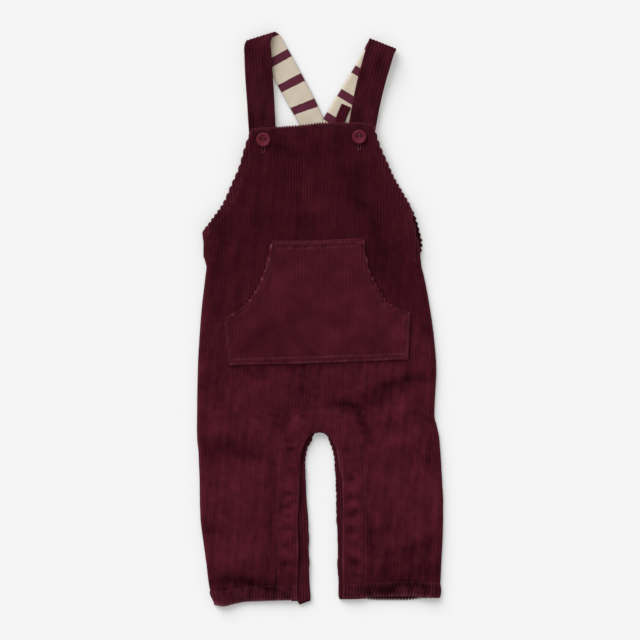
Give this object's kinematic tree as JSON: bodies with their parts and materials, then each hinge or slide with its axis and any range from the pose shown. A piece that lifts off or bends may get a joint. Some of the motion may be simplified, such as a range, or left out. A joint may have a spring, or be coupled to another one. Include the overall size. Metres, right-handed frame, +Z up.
{
  "type": "toddler overalls",
  "caption": "Toddler bib overalls in wide-wale corduroy, laid flat face up, with a pouch pocket, buttoned shoulder straps lined with striped jersey, and an inner-leg placket.",
  "frame": {"origin": "centre of the outline seen from above, at the surface that the overalls lie on", "axes": "+X to the right of someone looking down at the front, +Y from the hems to the shoulder straps, +Z up from the surface"},
  "size_m": [0.2603, 0.6081, 0.0128],
  "materials": {
    "corduroy": "matt burgundy cotton corduroy, about 8 wales to the inch",
    "striped_jersey": "cotton jersey in cream with plum stripes across the strap",
    "button_resin": "semi-gloss dark red polyester resin"
  },
  "bodies": {
    "root": {"back": "corduroy", "placket": "corduroy", "front": "corduroy", "pocket": "corduroy", "strap_left": "corduroy", "strap_left_lining": "striped_jersey", "strap_right": "corduroy", "strap_right_lining": "striped_jersey", "hanging_loop": "corduroy", "button_left": "button_resin", "button_right": "button_resin"}
  },
  "joints": []
}
